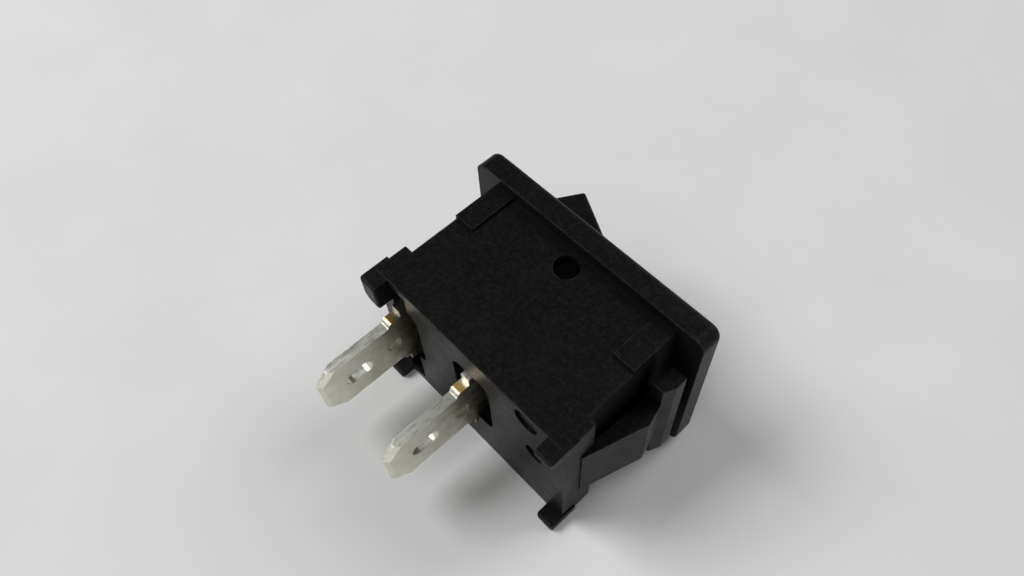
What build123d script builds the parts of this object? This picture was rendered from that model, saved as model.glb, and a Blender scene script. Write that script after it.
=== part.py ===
from build123d import *
import os
from math import cos, radians, sin, tan

# Miniature snap-in panel rocker switch, single pole, with two push-on tabs.
# Millimetres. The origin is the middle of the bezel's underside, which seats on the panel.
# +Z comes out of the panel through the rocker, X runs along the bezel and Y across it.
# It stands switched on: the rocker's +X end is pressed and the contacts at the -X end are closed.

# ---------------- Bezel ----------------
bezel_length = 21.0
bezel_width = 15.0
bezel_thickness = 1.85
bezel_corner = 0.9        # plan radius of its corners
bezel_edge = 0.45         # rounding round its front face
end_rim = 3.3             # bezel edge to the rocker's opening, at each end
side_rim = 2.2            # and at each side
opening_edge = 0.25       # chamfer round the opening

# ---------------- Housing ----------------
end_overhang = 2.15       # bezel beyond the body, at each end
side_overhang = 0.9       # and at each side
housing_depth = 10.63     # bezel underside to the plane of the base
end_wall = 0.6
side_wall = 1.0
floor_thickness = 1.53
wall_edge = 0.3           # rounding of the body's upright edges
foot_step = 0.7           # the foot stands this far beyond the body at each end
foot_height = 2.63
lug_drop = 1.2            # corner lugs below the base
lug_length = 1.5
lug_thickness = 0.75      # along Y, in line with the long sides
key_lug_width = 2.4       # the lug at the -X, -Y corner reaches further along the end
key_lug_corner = 0.9      # rounding of its free outer corner
lug_proud = 0.1           # lugs beyond the foot's end faces
lug_setback = 0.03        # and in from its long sides
lug_edge = 0.2
pad_length = 1.75         # locating pads beside the bezel, on the long walls
pad_height = 3.95
pad_proud = 0.2
rib_width = 2.2           # low rib down each end wall, behind the arm
rib_proud = 0.15

# ---------------- Underside ----------------
pocket_length = 1.7       # hollow beside each terminal, on its +X side
pocket_back = 1.0         # and on the common terminal's -X side
pocket_minus = 4.1        # its ends, towards -Y and +Y
pocket_plus = 2.2
pocket_depth = 1.0
pocket_corner = 0.8
recess_length = 1.6       # hollow round the end terminal, inside the lugs
recess_wall = 0.75        # left standing along the long sides
recess_depth = 0.8
ejector_mark_depth = 0.2  # shallow round marks left by the mould's ejector pins
side_mark_x = 5.7         # one by the -Y side
side_mark_y = -5.4
side_mark_radius = 1.0
middle_mark_x = 6.35      # and one nearer the middle
middle_mark_y = -1.2
middle_mark_radius = 0.8

# ---------------- Snap arms ----------------
arm_width = 6.0
head_width = 10.0
arm_root = 1.53           # height of the arm's root on the foot, above the base
arm_thickness = 0.95
arm_tip_depth = 1.2       # bezel underside to the arm's tip
barb_depth = 2.1          # to the widest point of the head
neck_depth = 3.0          # to the neck below the head
knee_depth = 4.4          # to the outermost point of the stem
head_drawin = 0.35        # neck in from the barb
knee_proud = 0.05         # knee beyond the barb
reach_plus = 2.15         # barb from the end wall, +X arm, standing free
reach_minus = 1.0         # barb from the end wall, -X arm, set inwards
arm_clearance = 0.12      # least gap between an arm and the end wall

# ---------------- Rocker ----------------
pivot_depth = 1.42        # bezel underside to the rocker's axis
rocker_throw = 27.0       # degrees from on to off
end_gap = 0.1             # rocker to opening, at each end
side_gap = 0.15           # and at each side
skirt_rise = 0.9          # rocker's lower edge above its axis
crown_rise = 5.1          # rocker's end ridges above its axis
crown_inset = 1.37        # ridges in from the ends of the skirt
face_slope = 13.5         # degrees, each half of the finger face
rocker_edge = 0.22
top_wall = 1.2
skirt_wall = 0.9
cheek_wall = 1.0
cheek_radius = 1.7        # rounded ear round each trunnion
boss_radius = 1.5         # washer face between ear and side wall
trunnion_radius = 0.9
trunnion_clearance = 0.05
trunnion_recess = 0.5     # trunnion's end in from the wall's outer face
trunnion_lead = 0.15      # chamfer that lets it snap into its hole
wall_clearance = 0.15     # ear's boss to the side wall
post_radius = 2.1
post_drop = 2.4           # post's end below the axis
bore_rise = 2.2           # blind end of the post's bore above the axis
web_thickness = 0.9       # web from the post to each cheek
web_drop = 0.5            # its lower edge below the axis

# ---------------- Plunger and spring ----------------
plunger_radius = 1.35
plunger_clearance = 0.06
plunger_top = 1.35        # its upper end below the axis
collar_end = 2.6          # end of its guided part below the axis
collar_taper = 0.35
nose_radius = 0.8
nose_clearance = 0.03     # nose to blade at mid travel
wire_radius = 0.14
coil_radius = 1.05        # to the middle of the wire
coil_turns = 5.5
seat_gap = 0.03

# ---------------- Terminals ----------------
tab_width = 4.8
tab_thickness = 0.8
tab_drop = 7.5            # tab's tip below the base
tip_chamfer_y = 0.8
tip_chamfer_z = 1.0
tip_bevel = 0.28
hole_width = 1.3
hole_length = 2.3
hole_drop = 4.4           # its middle below the base
collar_width = 5.6
collar_drop_minus = 1.32  # collar's shoulders below the base, -Y and +Y side
collar_drop_plus = 0.8
collar_corner = 0.35
stake_width = 6.9         # the part that is tight in the floor
stake_drop = 0.2
wing_width = 8.4          # wings that sit on the floor
wing_height = 0.6
inner_width = 5.2
slot_clearance = 0.03
tongue_width = 1.0        # stop tongue struck out of the tab
tongue_top = 0.67         # its bend below the base
tongue_length = 1.1
tongue_thickness = 0.45
tongue_angle = 32.0
tongue_kerf = 0.04        # narrower than its window by this each side
tongue_root = 0.15        # its foot in the tab, past the bend
bend_radius = 0.4         # inside the end terminal's bend
arm_margin = 0.15         # its arm beyond the fixed contact's rim

# ---------------- Blade and contacts ----------------
fulcrum_depth = 6.8       # bezel underside to the blade's axis
blade_throw = 16.0        # degrees from on to off
blade_thickness = 0.4
blade_clearance = 0.02    # blade to the rounded edge it rocks on
blade_end_width = 3.4
blade_waist = 3.8         # between the cradle's ears
blade_middle = 1.7        # half length of the wide middle
notch_clearance = 0.25
ear_clearance = 0.1
ear_rise = 1.35           # ears above the blade's axis
contact_arm = 4.7         # contact's middle from the blade's axis
blade_margin = 0.2        # blade beyond the contact's rim
blade_tail = 5.4          # blade's +X end from its axis
contact_radius = 1.25
contact_height = 0.45
contact_crown = 3.0       # spherical radius of the moving contact's face
contact_gap = 0.03        # left between the closed contacts
fixed_radius = 1.35
fixed_height = 0.4
shank_radius = 0.65
rivet_clearance = 0.01
rivet_tail_radius = 1.0
rivet_tail_height = 0.2
rest_clearance = 0.03     # between a moving piece and its stop
rest_length = 1.0         # rest under the blade's free end, along X
ledge_length = 0.5        # ledge in under the rocker's end
ledge_height = 2.0        # it tapers off down the end wall
ledge_width = 5.6
seat_width = 0.9          # pads that carry the end terminal's arm
seat_margin = 0.2         # pad clear of the terminal's bend

bite = 0.05               # how far joined shapes run into each other

# ---------------- Worked out ----------------
body_length = bezel_length - 2 * end_overhang
body_width = bezel_width - 2 * side_overhang
foot_length = body_length + 2 * foot_step
cavity_length = body_length - 2 * end_wall
cavity_width = body_width - 2 * side_wall
opening_length = bezel_length - 2 * end_rim
opening_width = bezel_width - 2 * side_rim
base_z = -housing_depth
floor_z = base_z + floor_thickness
rocker_length = opening_length - 2 * end_gap
rocker_width = opening_width - 2 * side_gap
bore_radius = plunger_radius + plunger_clearance
rocker_tilt = rocker_throw / 2
blade_tilt = -blade_throw / 2
pivot = Pos(0, 0, -pivot_depth)
fulcrum = Pos(0, 0, -fulcrum_depth)
rocker_pose = pivot * Rot(0, rocker_tilt, 0)
blade_pose = fulcrum * Rot(0, blade_tilt, 0)
terminal_x = -(cavity_length / 2 - slot_clearance - tab_thickness / 2)
blade_under = tab_thickness / 2 + blade_clearance
blade_top = blade_under + blade_thickness


def turned(x, z, angle):
    """A point turned about the Y axis, as x and z."""
    a = radians(angle)
    return x * cos(a) + z * sin(a), z * cos(a) - x * sin(a)


# The moving contact's crown is part of a sphere, so its lowest point is right under the sphere's
# middle, and the fixed contact stands there.
crown_x, crown_z = turned(-contact_arm, blade_under - contact_height + contact_crown, blade_tilt)
fixed_top = -fulcrum_depth + crown_z - contact_crown - contact_gap
arm_top = fixed_top - fixed_height
arm_under = arm_top - tab_thickness


def block(x0, x1, y0, y1, z0, z1):
    """A box between two corners."""
    middle = Pos((x0 + x1) / 2, (y0 + y1) / 2, (z0 + z1) / 2)
    return middle * Box(abs(x1 - x0), abs(y1 - y0), abs(z1 - z0))


def slab(length, width, z0, z1, corner):
    """A plate with rounded corners, between two heights."""
    return Pos(0, 0, z0) * extrude(RectangleRounded(length, width, corner), z1 - z0)


def side_profile(points, width, y=0.0):
    """An outline in x and z, extruded to a width across Y, about the given y."""
    face = make_face(Plane.XZ * Polyline(*points, close=True))
    return Pos(0, y, 0) * extrude(face, width / 2, both=True)


def rod_y(radius, y0, y1):
    """A round bar along Y, about the origin."""
    return Pos(0, (y0 + y1) / 2, 0) * Rot(90, 0, 0) * Cylinder(radius, abs(y1 - y0))


def rod_z(radius, z0, z1):
    """A round bar along Z, about the origin."""
    return Pos(0, 0, (z0 + z1) / 2) * Cylinder(radius, abs(z1 - z0))


# ---------------- Housing ----------------
def bezel():
    plate = slab(bezel_length, bezel_width, 0, bezel_thickness, bezel_corner)
    return fillet(plate.faces().sort_by(Axis.Z)[-1].edges(), bezel_edge)


def body():
    walls = slab(body_length, body_width, base_z, bezel_thickness / 2, wall_edge)
    foot = slab(foot_length, body_width, base_z, base_z + foot_height, wall_edge)
    pad_half = body_width / 2 + pad_proud
    pad_x = body_length / 2 - pad_length
    pads = [
        block(s * pad_x, s * (body_length / 2), -pad_half, pad_half, -pad_height, bite)
        for s in (-1, 1)
    ]
    rib_half = body_length / 2 + rib_proud
    rib = block(-rib_half, rib_half, -rib_width / 2, rib_width / 2,
                base_z + foot_height - bite, bite)
    return walls + foot + pads + rib


def lug(side_x, side_y, width):
    """One corner lug, rooted in the foot."""
    outer_x = side_x * (foot_length / 2 + lug_proud)
    outer_y = side_y * (body_width / 2 - lug_setback)
    return block(outer_x, outer_x - side_x * lug_length, outer_y, outer_y - side_y * width,
                 base_z - lug_drop, base_z + lug_drop)


def lugs():
    """Four lugs under the corners; the one at the -X, -Y corner is wider and rounded."""
    key = lug(-1, -1, key_lug_width)
    end_middle = (-foot_length / 2, 0, base_z)
    key = fillet(key.edges().filter_by(Axis.Z).sort_by_distance(end_middle)[0], key_lug_corner)
    found = []
    for one in (key, lug(-1, 1, lug_thickness), lug(1, -1, lug_thickness),
                lug(1, 1, lug_thickness)):
        found.append(fillet(one.faces().sort_by(Axis.Z)[0].edges(), lug_edge))
    return found


def arm(side, out):
    """Tongue that rises from the foot, with a wider head that springs out behind the panel."""
    reach = body_length / 2 + out
    root_z = base_z + arm_root
    root_x = foot_length / 2 + lug_proud
    knee_x = reach + knee_proud
    neck_x = reach - head_drawin
    wall_x = body_length / 2 + rib_proud + arm_clearance
    inner_x = max(wall_x, neck_x - arm_thickness)
    stem = [
        (foot_length / 2 - bite, root_z),
        (root_x, root_z),
        (knee_x, -knee_depth),
        (neck_x, -neck_depth),
        (neck_x, -arm_tip_depth),
        (inner_x, -arm_tip_depth),
        (inner_x, -knee_depth),
        (wall_x, root_z),
    ]
    head = [
        (neck_x, -neck_depth),
        (reach, -barb_depth),
        (reach, -arm_tip_depth),
        (inner_x, -arm_tip_depth),
        (inner_x, -neck_depth),
    ]
    stem = side_profile([(side * x, z) for x, z in stem], arm_width)
    head = side_profile([(side * x, z) for x, z in head], head_width)
    return stem + head


def cavity():
    """The room for the mechanism, and the rocker's opening through the bezel."""
    room_top = boss_radius - pivot_depth + wall_clearance
    room = block(-cavity_length / 2, cavity_length / 2, -cavity_width / 2, cavity_width / 2,
                 floor_z, room_top)
    opening = block(-opening_length / 2, opening_length / 2, -opening_width / 2,
                    opening_width / 2, room_top - bite, bezel_thickness + bite)
    flare = Pos(0, 0, bezel_thickness - opening_edge) * loft([
        Rectangle(opening_length, opening_width),
        Pos(0, 0, 2 * opening_edge)
        * Rectangle(opening_length + 4 * opening_edge, opening_width + 4 * opening_edge),
    ])
    return room + opening + flare


def terminal_slot(x, back):
    """A slot through the floor, with the hollow round it on the underside."""
    half = tab_thickness / 2 + slot_clearance
    slot = block(x - half, x + half, -stake_width / 2 - slot_clearance,
                 stake_width / 2 + slot_clearance, base_z - bite, floor_z + bite)
    low_x = x - back
    high_x = x + half + pocket_length
    hollow = slab(high_x - low_x, pocket_minus + pocket_plus, base_z - bite,
                  base_z + pocket_depth, pocket_corner)
    return slot + Pos((low_x + high_x) / 2, (pocket_plus - pocket_minus) / 2, 0) * hollow


def underside():
    """Hollows of the base: one round each terminal, and a wider one beside the -X lugs."""
    inner_x = foot_length / 2 + lug_proud - lug_length
    half = body_width / 2 - recess_wall
    recess = block(-inner_x, recess_length - inner_x, -half, half, base_z - bite,
                   base_z + recess_depth)
    common_back = tab_thickness / 2 + slot_clearance + pocket_back
    marks = Pos(side_mark_x, side_mark_y, 0) * rod_z(
        side_mark_radius, base_z - bite, base_z + ejector_mark_depth)
    marks += Pos(middle_mark_x, middle_mark_y, 0) * rod_z(
        middle_mark_radius, base_z - bite, base_z + ejector_mark_depth)
    return [recess, terminal_slot(terminal_x, 0), terminal_slot(0, common_back), marks]


def stops():
    """Ledges under the rocker's ends, a rest under the blade's free end, and the pads that
    carry the end terminal's arm."""
    outer_x = cavity_length / 2 + bite
    skirt_x, skirt_z = turned(rocker_length / 2, skirt_rise, rocker_tilt)
    ledge_top = -pivot_depth + skirt_z - rest_clearance
    inner_x = skirt_x - ledge_length
    ledge = side_profile([(inner_x, ledge_top), (outer_x, ledge_top),
                          (outer_x, ledge_top - ledge_height)], ledge_width)
    tail_x, tail_z = turned(blade_tail, blade_under, -blade_tilt)
    rest = block(tail_x - rest_length, tail_x, -blade_end_width / 2, blade_end_width / 2,
                 floor_z - bite, -fulcrum_depth + tail_z - rest_clearance)
    seat_x = terminal_x + tab_thickness / 2 + bend_radius + seat_margin
    seat_y = inner_width / 2
    seats = [
        block(seat_x, crown_x + fixed_radius, s * seat_y, s * (seat_y - seat_width),
              floor_z - bite, arm_under)
        for s in (-1, 1)
    ]
    return [ledge, mirror(ledge, Plane.YZ), rest] + seats


def housing():
    shell = bezel() + body() + lugs() + arm(1, reach_plus) + arm(-1, reach_minus)
    shell = shell - cavity() - underside()
    shell = shell + stops()
    hole = rod_y(trunnion_radius + trunnion_clearance, -body_width, body_width)
    return shell - pivot * hole


# ---------------- Rocker ----------------
def rocker():
    """Finger face, skirt and ears over a hollow post, with a trunnion on each side. Its own
    origin is its axis."""
    end_x = rocker_length / 2
    ridge_x = end_x - crown_inset
    valley = crown_rise - ridge_x * tan(radians(face_slope))
    outer = side_profile([(-end_x, skirt_rise), (-ridge_x, crown_rise), (0, valley),
                          (ridge_x, crown_rise), (end_x, skirt_rise)], rocker_width)
    rounded = outer.edges().filter_by(lambda e: e.center().Z > skirt_rise + bite)
    outer = fillet(rounded, rocker_edge)
    lean = crown_inset * (crown_rise - top_wall - skirt_rise) / (crown_rise - skirt_rise)
    inner_x = end_x - skirt_wall
    inner = side_profile([
        (-inner_x, skirt_rise - bite), (-inner_x, skirt_rise),
        (-inner_x + lean, crown_rise - top_wall), (0, valley - top_wall),
        (inner_x - lean, crown_rise - top_wall), (inner_x, skirt_rise),
        (inner_x, skirt_rise - bite)], rocker_width - 2 * cheek_wall)
    shell = outer - inner
    cheek_y = rocker_width / 2 - cheek_wall / 2
    ear = [(-2 * cheek_radius, skirt_rise + bite), (-cheek_radius, 0), (cheek_radius, 0),
           (2 * cheek_radius, skirt_rise + bite)]
    outside = rocker_width / 2
    for s in (-1, 1):
        shell += side_profile(ear, cheek_wall, s * cheek_y)
        shell += rod_y(cheek_radius, s * (outside - cheek_wall), s * outside)
        shell += rod_y(boss_radius, s * outside, s * (cavity_width / 2 - wall_clearance))
    pin = rod_y(trunnion_radius, outside, body_width / 2 - trunnion_recess)
    pin = chamfer(pin.faces().sort_by(Axis.Y)[-1].edges(), trunnion_lead)
    shell += pin + mirror(pin, Plane.XZ)
    roof = valley - top_wall + bite
    post = rod_z(post_radius, -post_drop, roof)
    web = block(-web_thickness / 2, web_thickness / 2, -cheek_y, cheek_y, -web_drop, roof)
    bore = rod_z(bore_radius, -post_drop - bite, bore_rise)
    return rocker_pose * (shell + post + web - bore)


# ---------------- Plunger and spring ----------------
def nose_drop():
    """Depth of the nose's middle below the rocker's axis, so that it clears the flat blade
    at mid travel."""
    return fulcrum_depth - pivot_depth - blade_top - nose_radius - nose_clearance


def plunger():
    tip = -nose_drop() - nose_radius
    outline = Polyline((0, -plunger_top), (plunger_radius, -plunger_top),
                       (plunger_radius, -collar_end), (nose_radius, -collar_end - collar_taper),
                       (nose_radius, -nose_drop()))
    slant = nose_radius * sin(radians(45))
    nose = ThreePointArc((nose_radius, -nose_drop()), (slant, -nose_drop() - slant), (0, tip))
    axis_line = Line((0, tip), (0, -plunger_top))
    face = make_face(Plane.XZ * (outline + nose + axis_line))
    return rocker_pose * revolve(face, Axis.Z)


def actuator_spring():
    low = -plunger_top + seat_gap + wire_radius
    height = bore_rise - seat_gap - wire_radius - low
    path = Helix(height / coil_turns, height, coil_radius)
    section = Plane(path @ 0, z_dir=path % 0) * Circle(wire_radius)
    return rocker_pose * Pos(0, 0, low) * sweep(section, path, is_frenet=True)


# ---------------- Terminals ----------------
def tab():
    """Push-on tab, its collar and the part held in the floor, up to the floor's top."""
    tip = base_z - tab_drop
    half = tab_width / 2
    collar = collar_width / 2
    stake = stake_width / 2
    outline = [
        (-half + tip_chamfer_y, tip), (-half, tip + tip_chamfer_z),
        (-half, base_z - collar_drop_minus), (-collar, base_z - collar_drop_minus),
        (-collar, base_z - stake_drop), (-stake, base_z - stake_drop), (-stake, floor_z),
        (stake, floor_z), (stake, base_z - stake_drop), (collar, base_z - stake_drop),
        (collar, base_z - collar_drop_plus), (half, base_z - collar_drop_plus),
        (half, tip + tip_chamfer_z), (half - tip_chamfer_y, tip),
    ]
    face = make_face(Plane.YZ * Polyline(*outline, close=True))
    shoulders = face.vertices().filter_by(
        lambda v: abs(v.Y) > collar - bite and v.Z < base_z - stake_drop - bite)
    plate = extrude(fillet(shoulders, collar_corner), tab_thickness / 2, both=True)
    lead = plate.edges().filter_by(
        lambda e: abs(e.center().X) > tab_thickness / 3 and e.center().Z < tip + tip_chamfer_z)
    plate = chamfer(lead, tip_bevel)
    hole = Plane.YZ * Pos(0, base_z - hole_drop) * Rot(0, 0, 90) * SlotOverall(
        hole_length, hole_width)
    plate -= extrude(hole, tab_thickness, both=True)
    bend_z = base_z - tongue_top
    plate -= extrude(Plane.YZ * Pos(0, bend_z) * tongue_outline(0, 0), tab_thickness, both=True)
    bend = Pos(tongue_thickness - tab_thickness / 2, 0, bend_z)
    tongue = extrude(Plane.YZ * tongue_outline(tongue_kerf, tongue_root), -tongue_thickness)
    return plate + bend * Rot(0, tongue_angle, 0) * tongue


def tongue_outline(kerf, root):
    """Half-round tongue that hangs from its bend, at the origin, in y and z."""
    half = tongue_width / 2 - kerf
    straight = tongue_length - tongue_width / 2
    stem = Pos(0, (root - straight) / 2) * Rectangle(2 * half, straight + root)
    return stem + Pos(0, -straight) * Circle(half)


def common_terminal():
    """Middle terminal: its top edge is rounded and carries the blade between two ears."""
    inner = inner_width / 2
    ear = blade_waist / 2 + ear_clearance
    half = tab_thickness / 2
    wings = block(-half, half, -wing_width / 2, wing_width / 2, floor_z, floor_z + wing_height)
    riser = block(-half, half, -inner, inner, floor_z, -fulcrum_depth)
    ears = [
        block(-half, half, s * ear, s * inner, -fulcrum_depth - bite, -fulcrum_depth + ear_rise)
        for s in (-1, 1)
    ]
    return tab() + wings + riser + ears + fulcrum * rod_y(half, -ear - bite, ear + bite)


def end_terminal():
    """Terminal at the -X end: bent inwards above the floor to carry the fixed contact."""
    half = tab_thickness / 2
    outside = terminal_x - half
    inside = terminal_x + half
    outer_radius = bend_radius + tab_thickness
    low = floor_z - bite
    end = crown_x + fixed_radius + arm_margin
    slant = sin(radians(45))
    lines = Polyline((inside, low), (outside, low), (outside, arm_top - outer_radius))
    lines += ThreePointArc(
        (outside, arm_top - outer_radius),
        (outside + outer_radius * (1 - slant), arm_top - outer_radius * (1 - slant)),
        (outside + outer_radius, arm_top))
    lines += Polyline((outside + outer_radius, arm_top), (end, arm_top), (end, arm_under),
                      (inside + bend_radius, arm_under))
    lines += ThreePointArc(
        (inside + bend_radius, arm_under),
        (inside + bend_radius * (1 - slant), arm_under - bend_radius * (1 - slant)),
        (inside, arm_under - bend_radius))
    lines += Line((inside, arm_under - bend_radius), (inside, low))
    strip = extrude(make_face(Plane.XZ * lines), inner_width / 2, both=True)
    hole = Pos(crown_x, 0, 0) * rod_z(shank_radius + rivet_clearance, low, fixed_top)
    return Pos(terminal_x, 0, 0) * tab() + strip - hole


# ---------------- Blade and contacts ----------------
def contact_blade():
    """Flat blade, wide in the middle and notched there for the cradle's ears. Its own origin
    is its axis."""
    waist = tab_thickness / 2 + notch_clearance
    head = contact_arm + contact_radius + blade_margin
    plan = Rectangle(2 * blade_middle, inner_width)
    plan += Pos((blade_tail - contact_arm) / 2, 0) * Rectangle(
        blade_tail + contact_arm, blade_end_width)
    plan += Pos(-contact_arm, 0) * Circle(head - contact_arm)
    notch = Rectangle(2 * waist, inner_width - blade_waist)
    plan -= Pos(0, inner_width / 2) * notch + Pos(0, -inner_width / 2) * notch
    plan -= Pos(-contact_arm, 0) * Circle(shank_radius + rivet_clearance)
    return blade_pose * Pos(0, 0, blade_under) * extrude(plan, blade_thickness)


def moving_contact():
    """Rivet through the blade, with a crowned head below."""
    head = rod_z(contact_radius, -contact_height, 0)
    head &= Pos(0, 0, contact_crown - contact_height) * Sphere(contact_crown)
    shank = rod_z(shank_radius, 0, blade_thickness)
    tail = rod_z(rivet_tail_radius, blade_thickness, blade_thickness + rivet_tail_height)
    return blade_pose * Pos(-contact_arm, 0, blade_under) * (head + shank + tail)


def fixed_contact():
    """Rivet through the end terminal's arm, flat on top."""
    head = rod_z(fixed_radius, 0, fixed_height)
    shank = rod_z(shank_radius, -tab_thickness, 0)
    tail = rod_z(rivet_tail_radius, -tab_thickness - rivet_tail_height, -tab_thickness)
    return Pos(crown_x, 0, arm_top) * (head + shank + tail)


nodes = {
    "housing": housing,
    "rocker": rocker,
    "plunger": plunger,
    "actuator_spring": actuator_spring,
    "contact_blade": contact_blade,
    "moving_contact": moving_contact,
    "common_terminal": common_terminal,
    "end_terminal": end_terminal,
    "fixed_contact": fixed_contact,
}

os.makedirs("parts", exist_ok=True)
for name, make in nodes.items():
    export_step(make(), f"parts/{name}.step")
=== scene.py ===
import math

import bmesh
import bpy
from mathutils import Matrix, Vector


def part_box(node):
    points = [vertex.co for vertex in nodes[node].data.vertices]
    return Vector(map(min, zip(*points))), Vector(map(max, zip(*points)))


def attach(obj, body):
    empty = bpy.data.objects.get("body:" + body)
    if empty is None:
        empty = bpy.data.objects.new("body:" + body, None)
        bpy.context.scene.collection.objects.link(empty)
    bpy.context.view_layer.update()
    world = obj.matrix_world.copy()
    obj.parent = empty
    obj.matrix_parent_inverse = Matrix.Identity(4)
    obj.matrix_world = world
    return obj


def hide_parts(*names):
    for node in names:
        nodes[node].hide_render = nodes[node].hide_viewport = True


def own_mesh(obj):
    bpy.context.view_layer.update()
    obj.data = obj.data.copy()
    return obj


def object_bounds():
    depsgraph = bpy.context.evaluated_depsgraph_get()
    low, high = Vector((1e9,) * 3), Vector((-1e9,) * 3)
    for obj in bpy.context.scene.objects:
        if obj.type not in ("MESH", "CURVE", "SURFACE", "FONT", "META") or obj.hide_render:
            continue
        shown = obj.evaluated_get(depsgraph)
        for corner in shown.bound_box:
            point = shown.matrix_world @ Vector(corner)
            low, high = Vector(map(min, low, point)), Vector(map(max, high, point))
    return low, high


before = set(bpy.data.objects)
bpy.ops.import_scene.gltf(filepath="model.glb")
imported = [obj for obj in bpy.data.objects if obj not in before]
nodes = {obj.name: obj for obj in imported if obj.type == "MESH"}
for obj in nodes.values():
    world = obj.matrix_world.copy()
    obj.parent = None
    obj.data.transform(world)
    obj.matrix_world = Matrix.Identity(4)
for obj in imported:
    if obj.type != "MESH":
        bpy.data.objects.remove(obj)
cad_low, cad_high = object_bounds()
scene = bpy.context.scene

# Housing. One black glass-filled nylon moulding: bezel, box, foot, snap arms and lugs.
# The mould is spark-eroded, so its faces carry a fine even grain and a soft sheen, with
# slightly smoother and paler rubbed patches where the switch has been handled.
nylon_black = (0.0040, 0.0040, 0.0042)
nylon_rubbed = (0.0085, 0.0085, 0.0088)
nylon_speck = (0.0150, 0.0150, 0.0153)   # glass fibres that reach the surface
nylon_worn = (0.0600, 0.0600, 0.0600)    # edges scuffed by handling
nylon_painted_nook_shade = (0.0022, 0.0022, 0.0022)  # painted shade, the colour in nooks
nylon_edge = 0.00012       # how far the scuffing reaches in from an edge
nylon_nook = 0.0016        # how near another face has to be to make a nook
nylon_shine = 0.085        # glass-filled nylon shines less than a clear one
nylon_grain = 4200.0       # grains a metre, about 0.25 mm apart
nylon_grain_rise = 0.000055
nylon_cloud = 420.0        # slow unevenness of the moulding, about 2.5 mm apart
nylon_cloud_rise = 0.00006
nylon_scuffs = 900.0       # scuffs a metre along a worn edge
nylon_smoothest = 0.32
nylon_roughest = 0.42


class Patterns:
    """Nodes that work out a pattern, all in one node tree."""

    def __init__(self, tree):
        self.tree = tree

    def join(self, source, target):
        self.tree.links.new(source, target)

    def maths(self, operation, first, second=None):
        """One step of arithmetic on one or two values, each a number or another node's."""
        node = self.tree.nodes.new("ShaderNodeMath")
        node.operation = operation
        for socket, value in zip(node.inputs, (first, second)):
            if isinstance(value, float):
                socket.default_value = value
            elif value is not None:
                self.join(value, socket)
        return node.outputs["Value"]

    def times(self, first, second):
        return self.maths("MULTIPLY", first, second)

    def part_along(self, axis, vector):
        """How far a vector reaches along an axis."""
        node = self.tree.nodes.new("ShaderNodeSeparateXYZ")
        self.join(vector, node.inputs["Vector"])
        return node.outputs[axis]

    def size_along(self, axis, vector):
        """The same, counted upwards from nought either way."""
        return self.maths("ABSOLUTE", self.part_along(axis, vector))

    def agreement(self, first, second):
        """One where two directions agree and nought where they are square."""
        node = self.tree.nodes.new("ShaderNodeVectorMath")
        node.operation = "DOT_PRODUCT"
        self.join(first, node.inputs[0])
        if isinstance(second, Vector):
            node.inputs[1].default_value = second
        else:
            self.join(second, node.inputs[1])
        return node.outputs["Value"]

    def spread(self, source, low, high, to_low=0.0, to_high=1.0, smooth=False):
        """Spreads a pattern's values between two new ones, and holds them there outside."""
        node = self.tree.nodes.new("ShaderNodeMapRange")
        node.interpolation_type = "SMOOTHSTEP" if smooth else "LINEAR"
        for socket, value in zip(("From Min", "From Max", "To Min", "To Max"),
                                 (low, high, to_low, to_high)):
            node.inputs[socket].default_value = value
        self.join(source, node.inputs["Value"])
        return node.outputs["Result"]

    def mix(self, share, first, second):
        """Mixes two colours, each a plain colour or another node's colour."""
        node = self.tree.nodes.new("ShaderNodeMix")
        node.data_type = "RGBA"
        self.join(share, node.inputs["Factor"])
        for socket, colour in ((node.inputs["A"], first), (node.inputs["B"], second)):
            if isinstance(colour, tuple):
                socket.default_value = (*colour, 1.0)
            else:
                self.join(colour, socket)
        return node.outputs["Result"]


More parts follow.
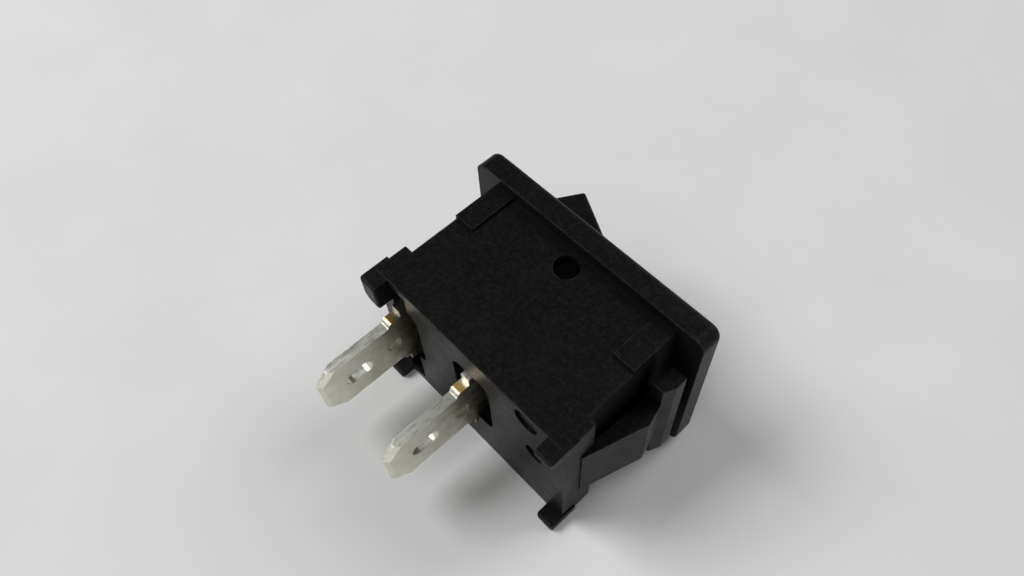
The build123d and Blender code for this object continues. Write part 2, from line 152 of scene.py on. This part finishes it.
class Finish(Patterns):
    """A node material for one finish, read in the object's own coordinates."""

    def __init__(self, name):
        self.material = bpy.data.materials.new(name)
        self.material.use_nodes = True
        super().__init__(self.material.node_tree)
        self.shader = self.tree.nodes["Principled BSDF"]
        coordinates = self.tree.nodes.new("ShaderNodeTexCoord")
        self.place = coordinates.outputs["Object"]
        self.facing = coordinates.outputs["Normal"]
        self.surface = self.tree.nodes.new("ShaderNodeNewGeometry")

    def stretched(self, scale):
        """The object's coordinates, stretched, for a grain with a direction."""
        node = self.tree.nodes.new("ShaderNodeMapping")
        node.inputs["Scale"].default_value = scale
        self.join(self.place, node.inputs["Vector"])
        return node.outputs["Vector"]

    def noise(self, scale, detail, roughness, where=None):
        """A cloudy pattern between nought and one, with its scale in patches a metre."""
        node = self.tree.nodes.new("ShaderNodeTexNoise")
        node.inputs["Scale"].default_value = scale
        node.inputs["Detail"].default_value = detail
        node.inputs["Roughness"].default_value = roughness
        self.join(where or self.place, node.inputs["Vector"])
        return node.outputs["Fac"]

    def softened(self, reach):
        """The surface's direction with its sharp edges rounded off."""
        node = self.tree.nodes.new("ShaderNodeBevel")
        node.samples = 4
        node.inputs["Radius"].default_value = reach
        return node.outputs["Normal"]

    def openness(self, reach, lone):
        """One on an open face, falling towards nought in a nook."""
        node = self.tree.nodes.new("ShaderNodeAmbientOcclusion")
        node.samples = 6
        node.only_local = lone
        node.inputs["Distance"].default_value = reach
        return node.outputs["AO"]

    def turning(self, softened):
        """Rises from nought on a flat to one on an edge."""
        flatness = self.agreement(softened, self.surface.outputs["True Normal"])
        return self.spread(flatness, 0.995, 0.85)

    def outer_only(self, outward, softened):
        """The softened direction on outer edges and the true one in inner corners."""
        node = self.tree.nodes.new("ShaderNodeMix")
        node.data_type = "VECTOR"
        self.join(outward, node.inputs["Factor"])
        self.join(self.surface.outputs["Normal"], node.inputs["A"])
        self.join(softened, node.inputs["B"])
        return node.outputs["Result"]

    def bumps(self, *layers, under=None):
        """Stacks bumps, each a pattern, its height in metres and its strength."""
        normal = under
        for height, rise, strength in layers:
            node = self.tree.nodes.new("ShaderNodeBump")
            node.inputs["Distance"].default_value = rise
            node.inputs["Strength"].default_value = strength
            self.join(height, node.inputs["Height"])
            if normal is not None:
                self.join(normal, node.inputs["Normal"])
            normal = node.outputs["Normal"]
        self.join(normal, self.shader.inputs["Normal"])

    def colour(self, source):
        self.join(source, self.shader.inputs["Base Color"])

    def roughness(self, pattern, where_low, where_high):
        """Roughness that goes from one value to another as the pattern rises."""
        self.join(self.spread(pattern, 0.3, 0.7, where_low, where_high),
                  self.shader.inputs["Roughness"])

    def metal(self):
        self.shader.inputs["Metallic"].default_value = 1.0


def moulded_nylon(name, black, rubbed, grain, grain_rise, smoothest, roughest, lone):
    """Black nylon from a spark-eroded mould, paler on rubbed edges, with painted shade in its
    nooks. A lone moulding takes that painted shade only from itself, and another from its
    neighbours too."""
    finish = Finish(name)
    fine = finish.noise(grain, detail=3.0, roughness=0.6)
    cloud = finish.noise(nylon_cloud, detail=4.0, roughness=0.6)
    fibres = finish.noise(grain * 0.8, detail=4.0, roughness=0.75)
    plain = finish.mix(finish.spread(fibres, 0.45, 0.75),
                       finish.mix(finish.spread(cloud, 0.45, 0.72), black, rubbed),
                       nylon_speck)
    softened = finish.softened(nylon_edge)
    openness = finish.openness(nylon_nook, lone)
    outward = finish.spread(openness, 0.80, 0.95)
    # painted shade: the colour darkens where other faces lie near
    nook_shade = finish.spread(openness, 0.35, 0.90, 1.0, 0.0)
    scuffs = finish.noise(nylon_scuffs, detail=3.0, roughness=0.6)
    worn = finish.times(finish.times(finish.turning(softened), outward),
                        finish.spread(scuffs, 0.40, 0.65, 0.1, 1.0))
    finish.colour(finish.mix(worn, finish.mix(nook_shade, plain, nylon_painted_nook_shade), nylon_worn))
    finish.roughness(cloud, roughest, smoothest)
    finish.bumps((cloud, nylon_cloud_rise, 0.35), (fine, grain_rise, 0.6),
                 under=finish.outer_only(outward, softened))
    finish.shader.inputs["Specular IOR Level"].default_value = nylon_shine
    return finish


def wear(node, material):
    """Gives a CAD node its finish in every material slot."""
    mesh = nodes[node].data
    for index in range(max(1, len(mesh.materials))):
        if index < len(mesh.materials):
            mesh.materials[index] = material
        else:
            mesh.materials.append(material)


housing_nylon = moulded_nylon("housing_nylon", nylon_black, nylon_rubbed, nylon_grain,
                              nylon_grain_rise, nylon_smoothest, nylon_roughest, lone=True)
wear("housing", housing_nylon.material)

# Terminals. Two brass strips, tin-plated before they were blanked, so the flats are satin
# tin with the rolling lines along the tab, and the sheared edges are streaked where the
# punch dragged the tin. Each is pushed up through the housing's floor and held by its wings.
tin_bright = (0.82, 0.81, 0.72)
tin_dull = (0.71, 0.69, 0.59)
# painted shade on the flats, darker and browner towards the housing
tin_painted_shade = (0.36, 0.30, 0.21)
tin_shade_top = -0.0104                # painted shade, browner and darker towards the housing
tin_shade_foot = -0.0150
tin_patches = 900.0
cut_tinned = (0.68, 0.68, 0.62)      # tin dragged over the cut edge by the punch
cut_streaked = (0.30, 0.29, 0.26)
cut_rise = 0.00001
tin_edge = 0.00006                   # roundness of the blanked edges
cut_brass = (0.56, 0.38, 0.14)       # bare brass of the collar's edge, by the housing
collar_start = -0.0118
collar_end = -0.0112
collar_side = 0.0023                 # the tongue's window lies nearer the middle than this
rolling_lines = (9000.0, 9000.0, 500.0)
rolling_rise = 0.000004
shear_lines = (5200.0, 5200.0, 1300.0)


def tinned_strip():
    """Tin on the flats with painted shade near the housing, streaked sheared edges, bare
    brass on the collar's edge.
    """
    finish = Finish("terminal_tin")
    edge = finish.spread(finish.size_along("Y", finish.facing), 0.55, 0.75)
    height = finish.part_along("Z", finish.place)
    above = finish.spread(height, collar_start, collar_start + 0.00015)
    below = finish.spread(height, collar_end, collar_end + 0.0002, 1.0, 0.0)
    outer = finish.spread(finish.size_along("Y", finish.place),
                          collar_side, collar_side + 0.0001)
    collar = finish.times(finish.times(above, below), outer)
    lines = finish.noise(1.0, 3.0, 0.65, finish.stretched(rolling_lines))
    shear = finish.noise(1.0, 6.0, 0.75, finish.stretched(shear_lines))
    patches = finish.noise(tin_patches, detail=4.0, roughness=0.6)
    clean = finish.mix(finish.spread(patches, 0.35, 0.7), tin_bright, tin_dull)
    # painted shade: the flats darken towards the housing, in patches
    shade_towards_housing = finish.times(finish.spread(height, tin_shade_foot, tin_shade_top),
                        finish.spread(patches, 0.3, 0.6, 0.4, 1.0))
    flat = finish.mix(shade_towards_housing, clean, tin_painted_shade)
    streaks = finish.mix(finish.spread(shear, 0.46, 0.68), cut_tinned, cut_streaked)
    finish.colour(finish.mix(edge, flat, finish.mix(collar, streaks, cut_brass)))
    finish.roughness(lines, 0.27, 0.39)
    finish.bumps((lines, rolling_rise, 0.4), (finish.times(shear, edge), cut_rise, 0.35),
                 under=finish.softened(tin_edge))
    finish.metal()
    return finish.material


terminal_tin = tinned_strip()
wear("common_terminal", terminal_tin)
wear("end_terminal", terminal_tin)

# Fixed contact. A small rivet of silver alloy, headed over in the end terminal's arm. The
# moving contact lands on its face.
silver_bright = (0.86, 0.85, 0.81)
silver_tarnished = (0.58, 0.55, 0.48)
tarnish_spots = 1600.0
turning_marks = 14000.0
turning_rise = 0.000003


def contact_rivet():
    """Silver alloy with faint turning marks and a little tarnish."""
    finish = Finish("contact_silver")
    tarnish = finish.noise(tarnish_spots, detail=4.0, roughness=0.65)
    marks = finish.noise(turning_marks, detail=2.0, roughness=0.5)
    finish.colour(finish.mix(finish.spread(tarnish, 0.48, 0.75),
                             silver_bright, silver_tarnished))
    finish.roughness(tarnish, 0.18, 0.34)
    finish.bumps((marks, turning_rise, 0.4))
    finish.metal()
    return finish.material


contact_silver = contact_rivet()
wear("fixed_contact", contact_silver)

# Contact blade and moving contact. The blade is stamped from rolled brass strip and rocks
# in the ears of the common terminal; its contact is a second silver rivet.
brass_rolled = (0.76, 0.57, 0.27)
brass_aged = (0.52, 0.36, 0.16)
brass_bloom = 700.0
blade_lines = (600.0, 9000.0, 600.0)
blade_rise = 0.000006


def rolled_brass():
    """Brass strip with rolling lines along the blade and a first brown bloom."""
    finish = Finish("blade_brass")
    bloom = finish.noise(brass_bloom, detail=5.0, roughness=0.6)
    lines = finish.noise(1.0, 3.0, 0.6, finish.stretched(blade_lines))
    finish.colour(finish.mix(finish.spread(bloom, 0.42, 0.75), brass_rolled, brass_aged))
    finish.roughness(lines, 0.24, 0.4)
    finish.bumps((lines, blade_rise, 0.5))
    finish.metal()
    return finish.material


wear("contact_blade", rolled_brass())
wear("moving_contact", contact_silver)

# Spring. Wound from drawn steel wire, with a film of oil left on it. It stands on the
# plunger, bears on the blind end of the rocker's post and shortens as the plunger slides in.
wire_steel = (0.56, 0.56, 0.57)
wire_oiled = (0.34, 0.33, 0.32)
oil_patches = 2200.0
drawing_marks = 16000.0
drawing_rise = 0.000003
wire_radius = 0.00014
wire_sides = 12
coil_radius = 0.00105            # to the middle of the wire
coil_turns = 5.5
turn_steps = 24                  # stretches of wire in one turn
coil_foot = -0.00118             # where the wire's middle starts and ends, from the
coil_head = 0.00203              # rocker's axis along its post
rocker_axis = Vector((0.0, 0.0, -0.00142))
rocker_lean = math.radians(13.5)


def drawn_wire():
    """Drawn steel wire with a film of oil left on it."""
    finish = Finish("spring_steel")
    film = finish.noise(oil_patches, detail=3.0, roughness=0.6)
    marks = finish.noise(drawing_marks, detail=2.0, roughness=0.5)
    finish.colour(finish.mix(finish.spread(film, 0.45, 0.7), wire_steel, wire_oiled))
    finish.roughness(film, 0.2, 0.34)
    finish.bumps((marks, drawing_rise, 0.4))
    finish.metal()
    return finish.material


def wound_spring():
    """Wire wound round the post's axis, with flat cut ends."""
    steps = round(coil_turns * turn_steps)
    rise = coil_head - coil_foot
    slope = math.atan2(rise / coil_turns, 2 * math.pi * coil_radius)
    shape = bmesh.new()
    bmesh.ops.create_circle(shape, segments=wire_sides, radius=wire_radius)
    bmesh.ops.rotate(shape, verts=shape.verts, cent=(0, 0, 0),
                     matrix=Matrix.Rotation(slope - math.pi / 2, 3, "X"))
    bmesh.ops.translate(shape, verts=shape.verts, vec=(coil_radius, 0, coil_foot))
    bmesh.ops.spin(shape, geom=shape.verts[:] + shape.edges[:], cent=(0, 0, 0),
                   axis=(0, 0, 1), dvec=(0, 0, rise / steps), steps=steps,
                   angle=2 * math.pi * coil_turns, use_duplicate=False)
    bmesh.ops.holes_fill(shape, edges=[edge for edge in shape.edges if edge.is_boundary])
    for face in shape.faces:
        face.smooth = len(face.verts) == 4
    stand = Matrix.Translation(rocker_axis) @ Matrix.Rotation(rocker_lean, 4, "Y")
    bmesh.ops.transform(shape, matrix=stand, verts=shape.verts)
    bmesh.ops.recalc_face_normals(shape, faces=shape.faces)
    mesh = bpy.data.meshes.new("spring_coil")
    shape.to_mesh(mesh)
    shape.free()
    return bpy.data.objects.new("spring_coil", mesh)


spring_wire = drawn_wire()
wear("actuator_spring", spring_wire)
spring_coil = wound_spring()
scene.collection.objects.link(spring_coil)
spring_coil.data.materials.append(spring_wire)
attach(spring_coil, "rocker")
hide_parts("actuator_spring")
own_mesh(spring_coil)

# Plunger. Turned from natural white acetal, it slides in the rocker's post and presses its
# round nose on the blade.
acetal_white = (0.80, 0.79, 0.74)
acetal_shade = (0.70, 0.68, 0.61)
acetal_clouds = 600.0
acetal_grain = 4000.0
acetal_rise = 0.000004
acetal_depth = (0.0006, 0.0005, 0.0004)    # how far light gets in, red first


def smooth_acetal():
    """Unpigmented acetal: milky, slippery and a little translucent."""
    finish = Finish("plunger_acetal")
    milk = finish.noise(acetal_clouds, detail=3.0, roughness=0.5)
    grain = finish.noise(acetal_grain, detail=2.0, roughness=0.5)
    finish.colour(finish.mix(milk, acetal_white, acetal_shade))
    finish.roughness(milk, 0.26, 0.36)
    finish.bumps((grain, acetal_rise, 0.3))
    finish.shader.inputs["Subsurface Weight"].default_value = 0.15
    finish.shader.inputs["Subsurface Radius"].default_value = acetal_depth
    finish.shader.inputs["Subsurface Scale"].default_value = 1.0
    return finish.material


wear("plunger", smooth_acetal())

# Rocker. A hollow black nylon button, snapped into the side walls by its two trunnions.
# Its finger face is moulded a little smoother than the housing.
rocker_black = (0.0058, 0.0058, 0.0062)
rocker_rubbed = (0.0110, 0.0110, 0.0114)
rocker_grain = 5200.0
rocker_grain_rise = 0.000030
rocker_smoothest = 0.26
rocker_roughest = 0.36
trunnion_end = 0.00610     # each trunnion's end face, down in its hole
# painted shade for the trunnions' ends in their holes
trunnion_painted_shade = (0.0008, 0.0008, 0.0008)


def shade_trunnion_ends(nylon):
    """Paints shade on the trunnions' ends, down in their holes."""
    ends = nylon.spread(nylon.size_along("Y", nylon.place),
                        trunnion_end - 0.0003, trunnion_end - 0.0002)
    moulded = nylon.shader.inputs["Base Color"].links[0].from_socket
    nylon.colour(nylon.mix(ends, moulded, trunnion_painted_shade))


rocker_nylon = moulded_nylon("rocker_nylon", rocker_black, rocker_rubbed, rocker_grain,
                             rocker_grain_rise, rocker_smoothest, rocker_roughest, lone=False)
shade_trunnion_ends(rocker_nylon)
wear("rocker", rocker_nylon.material)

# Bench. A sheet of white paper that the switch lies on, resting on one long edge of its
# bezel and on the two lugs of the same side. Only its front is there to be seen, and it
# takes the switch's shadow.
paper_white = (0.80, 0.80, 0.80)
paper_shade = (0.765, 0.765, 0.765)
paper_mottle = 70.0
paper_fibres = 2500.0
paper_fibre_rise = 0.00002
paper_half = 0.6
paper_gap = 0.00001
paper_lift = 0.003         # the side lying this near the paper is lit as if it were raised
lug_inset = 0.00093        # how far the lugs' side lies in from the bezel's
housing_low, housing_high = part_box("housing")
bezel_edge = Vector((0.0, housing_high.y, 0.0))
lug_edge = Vector((0.0, housing_high.y - lug_inset, housing_low.z))


def sheet_of_paper():
    """A square sheet under the bezel's edge and the lugs, its normal towards the switch."""
    along = (bezel_edge - lug_edge).normalized()
    normal = Vector((1.0, 0.0, 0.0)).cross(along).normalized()
    if normal.y > 0:
        normal = -normal
    side = along.cross(normal)
    shape = bmesh.new()
    bmesh.ops.create_grid(shape, x_segments=1, y_segments=1, size=paper_half)
    turn = Matrix((side, along, normal)).transposed().to_4x4()
    place = Matrix.Translation(bezel_edge - normal * paper_gap)
    bmesh.ops.transform(shape, matrix=place @ turn, verts=shape.verts)
    shape.normal_update()
    if shape.faces[:][0].normal.dot(normal) < 0:
        bmesh.ops.reverse_faces(shape, faces=shape.faces[:])
    mesh = bpy.data.meshes.new("paper")
    shape.to_mesh(mesh)
    shape.free()
    return bpy.data.objects.new("paper", mesh)


def paper_surface():
    """White paper, seen from its front only. Its back is clear, and so is the stretch that
    the switch lies on for the light that bounces off the switch."""
    finish = Finish("paper_white")
    mottle = finish.noise(paper_mottle, detail=5.0, roughness=0.55)
    fibres = finish.noise(paper_fibres, detail=3.0, roughness=0.6)
    finish.colour(finish.mix(finish.spread(mottle, 0.35, 0.65), paper_white, paper_shade))
    finish.bumps((fibres, paper_fibre_rise, 0.25))
    finish.shader.inputs["Roughness"].default_value = 0.85
    finish.shader.inputs["Specular IOR Level"].default_value = 0.2
    path = finish.tree.nodes.new("ShaderNodeLightPath")
    touching = finish.maths("LESS_THAN", path.outputs["Ray Length"], paper_lift)
    bounced = finish.times(touching, path.outputs["Is Diffuse Ray"])
    clear = finish.maths("MAXIMUM", finish.surface.outputs["Backfacing"], bounced)
    choose = finish.tree.nodes.new("ShaderNodeMixShader")
    finish.join(clear, choose.inputs["Fac"])
    unseen = finish.tree.nodes.new("ShaderNodeBsdfTransparent")
    finish.join(finish.shader.outputs["BSDF"], choose.inputs[1])
    finish.join(unseen.outputs["BSDF"], choose.inputs[2])
    output = finish.tree.nodes["Material Output"]
    finish.join(choose.outputs["Shader"], output.inputs["Surface"])
    return finish.material


paper = sheet_of_paper()
scene.collection.objects.link(paper)
paper.data.materials.append(paper_surface())
paper.visible_shadow = False

# Light and view. Three broad ceiling lamps throw the soft shadows, a weak one shapes the
# side that lies against the paper, and the room is palest behind the paper and dim in the
# stretch that the wide side wall faces.
room_bright = (0.55, 0.55, 0.55)
room_far = (0.12, 0.12, 0.12)
room_dim = (0.045, 0.045, 0.045)
room_seen = (0.80, 0.80, 0.80)
bright_direction = Vector((-0.40, 0.90, 0.15)).normalized()
dim_direction = Vector((-0.36, -0.90, 0.25)).normalized()
switch_middle = (cad_low + cad_high) / 2


def soft_lamp(name, direction, distance, size, power):
    """A square soft lamp that faces the switch from a given direction."""
    data = bpy.data.lights.new(name, "AREA")
    data.shape = "SQUARE"
    data.size = size
    data.energy = power
    lamp = bpy.data.objects.new(name, data)
    away = Vector(direction).normalized()
    lamp.location = switch_middle + away * distance
    lamp.rotation_mode = "QUATERNION"
    lamp.rotation_quaternion = (-away).to_track_quat("-Z", "Y")
    scene.collection.objects.link(lamp)
    return lamp


soft_lamp("lamp_by_raised_end", (-0.52, -0.79, -0.33), 0.62, 0.30, 2.45)
soft_lamp("lamp_over_bezel", (0.15, -0.65, 0.74), 0.70, 0.36, 1.62)
soft_lamp("lamp_by_terminals", (0.20, -0.75, -0.63), 0.70, 0.45, 0.65)
soft_lamp("back_fill", (0.20, 0.95, 0.25), 0.70, 0.50, 0.5)


def pale_room():
    """A pale room with one dim stretch. Metal mirrors the pale background outside that
    stretch, and behind the switch the background is plain."""
    room = bpy.data.worlds.new("pale_room")
    room.use_nodes = True
    air = Patterns(room.node_tree)
    heading = air.tree.nodes.new("ShaderNodeTexCoord").outputs["Generated"]
    path = air.tree.nodes.new("ShaderNodeLightPath")
    dim = air.spread(air.agreement(heading, dim_direction), 0.45, 0.88, smooth=True)
    bright = air.spread(air.agreement(heading, bright_direction), -0.5, 0.6)
    lit = air.mix(bright, room_far, room_bright)
    mirrored = air.mix(path.outputs["Is Glossy Ray"], lit, room_seen)
    shaded = air.mix(dim, mirrored, room_dim)
    straight = air.maths("MAXIMUM", path.outputs["Is Camera Ray"],
                         path.outputs["Is Transmission Ray"])
    seen = air.mix(straight, shaded, room_seen)
    air.join(seen, air.tree.nodes["Background"].inputs["Color"])
    return room


scene.world = pale_room()

camera_spot = (0.020949, -0.052804, -0.023360)
camera_forward = Vector((-0.40973, 0.84845, 0.33503)).normalized()
camera_right = Vector((0.68107, 0.04020, 0.73111)).normalized()
camera_up = camera_right.cross(camera_forward)
camera_data = bpy.data.cameras.new("camera")
camera_data.lens = 29.21
camera_data.sensor_width = 36.0
camera_data.clip_start = 0.002
camera_data.clip_end = 5.0
camera = bpy.data.objects.new("camera", camera_data)
camera_turn = Matrix((camera_right, camera_up, -camera_forward)).transposed()
camera.location = camera_spot
camera.rotation_mode = "QUATERNION"
camera.rotation_quaternion = camera_turn.to_quaternion()
scene.collection.objects.link(camera)
scene.camera = camera

scene.view_settings.view_transform = "Standard"
